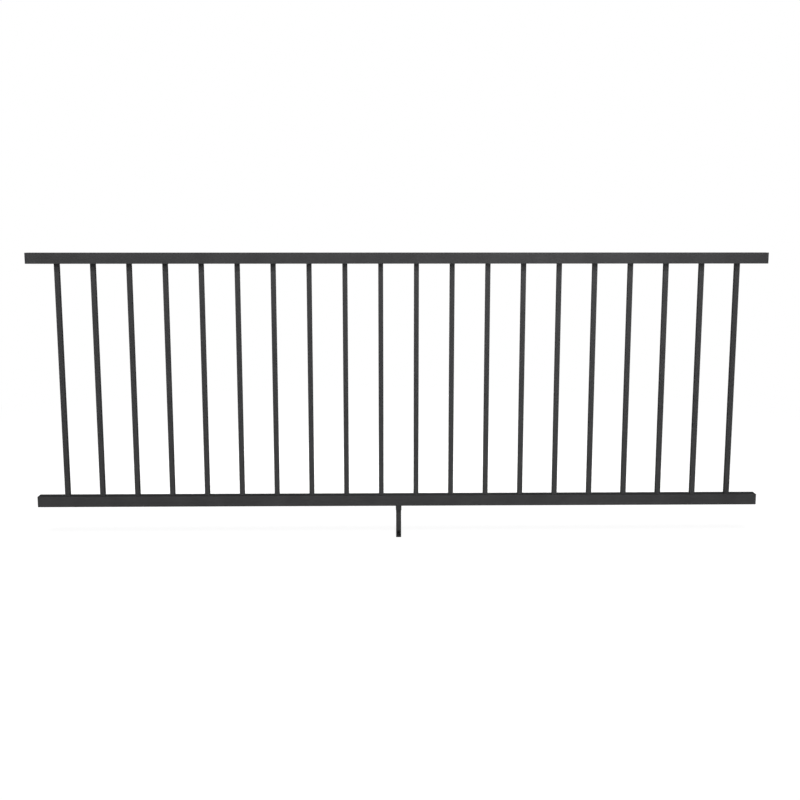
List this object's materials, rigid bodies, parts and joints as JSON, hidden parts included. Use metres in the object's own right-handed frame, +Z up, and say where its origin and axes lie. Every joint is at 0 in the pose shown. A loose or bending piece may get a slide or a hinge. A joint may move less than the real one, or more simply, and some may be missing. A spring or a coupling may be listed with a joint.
{
  "type": "deck railing section",
  "caption": "Straight deck guard railing: square top and bottom rails, a row of slim square balusters between them and a short support leg under the bottom rail.",
  "frame": {"origin": "centre of the support leg's foot, on the deck at mid-span", "axes": "+X along the rails, +Y from the front to the back, +Z up from the deck"},
  "size_m": [2.3622, 0.035, 0.9345],
  "materials": {
    "powder_coat": "satin",
    "leg_moulding": "matte"
  },
  "bodies": {
    "root": {"top_rail": "powder_coat", "bottom_rail": "powder_coat", "support_leg_post": "powder_coat", "baluster_01": "powder_coat", "baluster_02": "powder_coat", "baluster_03": "powder_coat", "baluster_04": "powder_coat", "baluster_05": "powder_coat", "baluster_06": "powder_coat", "baluster_07": "powder_coat", "baluster_08": "powder_coat", "baluster_09": "powder_coat", "baluster_10": "powder_coat", "baluster_11": "powder_coat", "baluster_12": "powder_coat", "baluster_13": "powder_coat", "baluster_14": "powder_coat", "baluster_15": "powder_coat", "baluster_16": "powder_coat", "baluster_17": "powder_coat", "baluster_18": "powder_coat", "baluster_19": "powder_coat", "baluster_20": "powder_coat", "support_leg_head": "leg_moulding", "support_leg_foot": "leg_moulding"}
  },
  "joints": []
}
